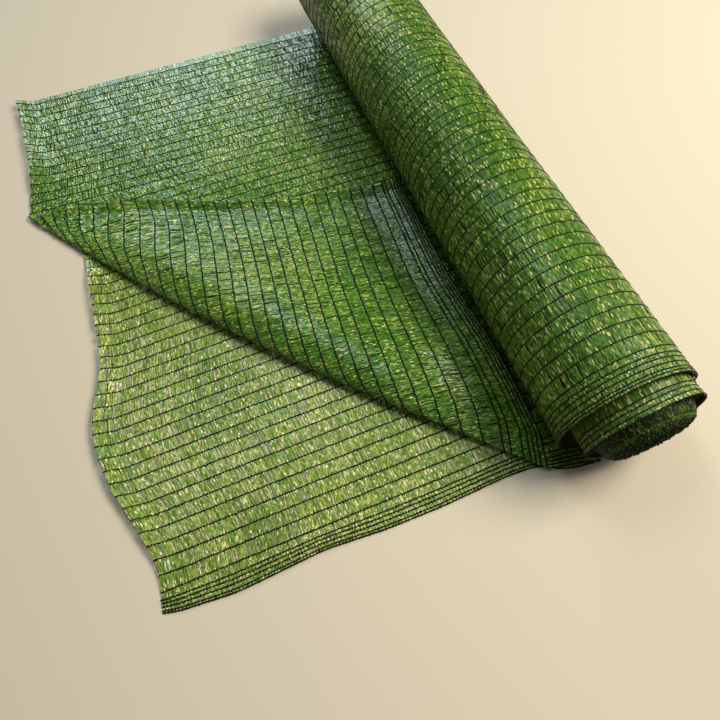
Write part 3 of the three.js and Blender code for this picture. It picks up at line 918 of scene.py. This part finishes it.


# One net in three copies, each coloured for the light its part gets. The lower layer lies
# are darker, as painted shade
# single on the pale floor and is lighter and yellower, as painted light; its palest colour, of
# the painted glints, is a tan like the floor seen through slits. The upper layer and the roll
lower_green_painted_light = net_material(
    "net_green_lower_painted_light", dark=(0.048, 0.120, 0.007), middle=(0.140, 0.236, 0.022),
    light=(0.34, 0.38, 0.08), pale=(0.82, 0.66, 0.33), roughness=0.18, gloss=0.42)
upper_green_painted_shade = net_material(
    "net_green_upper_painted_shade", dark=(0.016, 0.070, 0.002), middle=(0.051, 0.158, 0.009),
    light=(0.20, 0.30, 0.04), pale=(0.56, 0.50, 0.18), roughness=0.18, gloss=0.42)
roll_green_painted_shade = net_material(
    "net_green_roll_painted_shade", dark=(0.018, 0.060, 0.003), middle=(0.055, 0.138, 0.009),
    light=(0.15, 0.25, 0.028), pale=(0.52, 0.47, 0.15), roughness=0.27, gloss=0.3)
# The net's green darkened nearly to black, as painted shade: on the turns below the outer one
# and their recess, and on the two ends, where the edges of the turns are darkened as painted
# shade between them
painted_shade_green = net_material(
    "net_green_under_painted_shade", dark=(0.003, 0.006, 0.001), middle=(0.014, 0.030, 0.003),
    light=(0.07, 0.12, 0.014), pale=(0.12, 0.17, 0.03), roughness=0.5, gloss=0.1)
black_thread = thread_material(
    "stitch_black", low=(0.003, 0.004, 0.003), high=(0.014, 0.016, 0.012))


def finish_piece(obj, material, node_name):
    obj.data.materials.append(material)
    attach(obj, "root")
    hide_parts(node_name)


def stitched_lines(layer):
    return [i for i, kind in enumerate(layer.names) if kind != "bend"]


# The lower layer, with the far fold
lower = lower_layer()
lower_tapes = make_tapes("net_lower", lower, LAYER_STEPS, 11, lowest=0.15)
lower_lines = stitched_lines(lower)
lower_lines[0] = 0.02
lower_stitches = make_stitches("stitches_lower", lower, lower_lines, 12, lowest=0.1)

# The upper layer, with the corner that is folded back
upper = upper_layer()
upper_tapes = make_tapes("net_upper", upper, LAYER_STEPS, 21)
upper_stitches = make_stitches("stitches_upper", upper, stitched_lines(upper), 22, thick=1.08)

finish_piece(lower_tapes, lower_green_painted_light, "loose_end")
finish_piece(lower_stitches, black_thread, "loose_end")
finish_piece(upper_tapes, upper_green_painted_shade, "loose_end")
finish_piece(upper_stitches, black_thread, "loose_end")

# The roll
regular_lines = [ROLL_LINE_START + LINE_PITCH * n for n in range(1, ROLL_LINES + 1)]
outer_turn = RoundLayer(
    np.array([*ROLL_EDGE_LINES, *regular_lines, ROLL_FAR_END]), roll_surface, ROLL_RADIUS,
    ["edge"] * len(ROLL_EDGE_LINES) + ["line"] * (ROLL_LINES + 1))
roll_tapes = make_tapes(
    "roll_net", outer_turn, ROLL_STEPS, 31, relief=0.9, slits=0.18, pale=0.07, closed=True,
    lowest=0.05)
roll_stitches = make_stitches(
    "roll_stitches", outer_turn, np.arange(outer_turn.cells), 32, closed=True, lowest=0.0,
    thick=0.8)

inner_turn = RoundLayer(CORE_LINES, core_surface, CORE_MEAN_RADIUS, ["edge"] * len(CORE_LINES))
core_tapes = make_tapes(
    "inner_turn_net", inner_turn, CORE_STEPS, 41, relief=0.7, slits=0.1, pale=0.09, closed=True)
core_stitches = make_stitches(
    "inner_turn_stitches", inner_turn, CORE_STITCH_LINES, 42, closed=True, thick=0.75)


# Coloured later with the painted shade green
def under_turns(name):
    """The turns below the outer one, as one even surface round the roll."""
    angles = np.linspace(0, TURN, INNER_COLUMNS + 1)[:-1]
    rows = []
    for y, radius, core in INNER_ROWS:
        x = core * CORE_SHIFT[0] + radius * np.cos(angles)
        z = AXIS_HEIGHT + core * CORE_SHIFT[2] + radius * np.sin(angles)
        rows.append(np.stack([x, np.full_like(x, y), np.maximum(z, INNER_LOWEST)], -1))
    return new_object(name, rows, grid_faces(len(rows), INNER_COLUMNS, closed=True))


def wound_end(name, radii, profile, columns, seed, core, tone, speckle, green, relief):
    """An end of the roll: the edges of many turns, wound one on another. The profile has rows of a
    radius and its place along the roll; core is 1 on the inner turns and 0 on the outer ones."""
    rng = np.random.default_rng(seed)
    towards = 1 if core else -1
    end_angles = towards * np.linspace(0, TURN, columns + 1)[:-1]
    r, a = np.meshgrid(radii, end_angles, indexing="ij")
    turns = (r + TURN_THICKNESS * np.abs(a) / TURN) / TURN_THICKNESS
    depth = np.interp(r, *profile.T)
    level = rng.uniform(-1, 1, MOST_TURNS)
    turn_index = np.floor(turns).astype(int)
    in_turn = turns - turn_index
    rough = TURN_EDGE["out"] * level[turn_index] + TURN_EDGE["crown"] * np.sin(np.pi * in_turn)
    rough = rough - smooth_noise(rng, *r.shape, *TURN_ROUGH_REACH)
    rough = rough - TURN_EDGE["rough"] * rng.uniform(-1, 1, r.shape)
    # The first two rows are the rim, which meets its neighbour evenly
    rough[:2] = 0
    wobble = 1 + waves_round(a, END_WAVES) * core
    x = core * CORE_SHIFT[0] + r * wobble * np.cos(a)
    z = AXIS_HEIGHT + core * CORE_SHIFT[2] + r * wobble * np.sin(a)
    green_turn = np.exp(-(((r - GREEN_TURN["radius"]) / GREEN_TURN["width"]) ** 2))
    tones = tone + TURN_TONE_VARIES * level[turn_index]
    tones = tones + speckle * rng.random(r.shape) ** SPECKLE_POWER + green * green_turn
    return new_object(name, np.stack([x, depth + relief * rough, z], -1),
                      grid_faces(*r.shape, closed=True), np.clip(tones[:-1], 0, 1), smooth=False)


inner = under_turns("roll_turns")
near_end = wound_end(
    "roll_end_turns", [76.4, 75.8, *np.linspace(75.0, 1.0, 96)], NEAR_END, columns=330, seed=51,
    core=1, tone=0.12, speckle=0.8, green=0.25, relief=1.0)
far_end = wound_end(
    "roll_far_end_turns", [83.0, 82.6, *np.linspace(82.0, 1.0, 72)], FAR_END, columns=150,
    seed=52, core=0, tone=0.2, speckle=0.7, green=0.0, relief=0.7)

# The turns below the outer one and the two ends take the painted shade green
for piece, material in (
    (roll_tapes, roll_green_painted_shade), (roll_stitches, black_thread), (core_tapes, roll_green_painted_shade),
    (core_stitches, black_thread), (inner, painted_shade_green), (near_end, painted_shade_green),
    (far_end, painted_shade_green),
):
    finish_piece(piece, material, "net_roll")

# Floor, light and camera
FLOOR_REACH = 8
FLOOR_COLOUR = (0.58, 0.50, 0.37, 1)
WORLD_COLOUR = (0.95, 0.97, 1.0, 1)
WORLD_STRENGTH = 0.17
CAMERA_PLACE = Vector((-0.3696, -0.6529, 0.7910))
# Turned to the right from +Y, tilted down, and rolled, in radians
CAMERA_YAW, CAMERA_TILT, CAMERA_ROLL = 0.268, 1.094, -0.123


def add_to_scene(name, data):
    obj = bpy.data.objects.new(name, data)
    bpy.context.scene.collection.objects.link(obj)
    return obj


def add_floor():
    mesh = bpy.data.meshes.new("floor")
    reach = FLOOR_REACH
    corners = [(-reach, -reach, 0), (reach, -reach, 0), (reach, reach, 0), (-reach, reach, 0)]
    mesh.from_pydata(corners, [], [(0, 1, 2, 3)])
    material, _, shader = new_material("floor_pale")
    shader.inputs["Base Color"].default_value = FLOOR_COLOUR
    shader.inputs["Roughness"].default_value = 0.9
    mesh.materials.append(material)
    add_to_scene("floor", mesh)


def add_area_light(name, place, aim, size, power, colour):
    lamp = bpy.data.lights.new(name, "AREA")
    lamp.shape = "RECTANGLE"
    lamp.size, lamp.size_y = size
    lamp.energy = power
    lamp.color = colour
    obj = add_to_scene(name, lamp)
    obj.location = place
    obj.rotation_mode = "QUATERNION"
    obj.rotation_quaternion = (Vector(aim) - Vector(place)).to_track_quat("-Z", "Y")


def add_camera():
    level = math.cos(CAMERA_TILT)
    forward = Vector((
        level * math.sin(CAMERA_YAW), level * math.cos(CAMERA_YAW), -math.sin(CAMERA_TILT)))
    level_right = Vector((math.cos(CAMERA_YAW), -math.sin(CAMERA_YAW), 0))
    level_up = level_right.cross(forward)
    right = math.cos(CAMERA_ROLL) * level_right + math.sin(CAMERA_ROLL) * level_up
    upward = -math.sin(CAMERA_ROLL) * level_right + math.cos(CAMERA_ROLL) * level_up
    data = bpy.data.cameras.new("camera")
    data.lens, data.sensor_width, data.sensor_fit = 30.0, 36.0, "HORIZONTAL"
    data.clip_start, data.clip_end = 0.01, 50
    camera = add_to_scene("camera", data)
    turned = Matrix((right, upward, -forward)).transposed()
    camera.matrix_world = Matrix.Translation(CAMERA_PLACE) @ turned.to_4x4()
    bpy.context.scene.camera = camera


add_floor()
world = bpy.data.worlds.new("studio")
bpy.context.scene.world = world
world.use_nodes = True
world.node_tree.nodes["Background"].inputs["Color"].default_value = WORLD_COLOUR
world.node_tree.nodes["Background"].inputs["Strength"].default_value = WORLD_STRENGTH
add_area_light(
    "window", place=(-0.25, 4.3, 2.6), aim=(-0.35, 0.1, 0.0), size=(2.5, 0.5), power=68,
    colour=(0.76, 0.92, 1.0))
add_area_light(
    "key", place=(1.65, -0.55, 2.2), aim=(-0.1, 0.1, 0.0), size=(1.3, 1.1), power=106,
    colour=(1.0, 0.95, 0.86))
add_area_light(
    "sky", place=(-0.38, 0.8, 2.2), aim=(-0.38, -0.2, 0.0), size=(0.45, 0.8), power=13,
    colour=(0.78, 0.92, 1.0))
bpy.context.scene.view_settings.view_transform = "Standard"
add_camera()

bpy.context.view_layer.update()
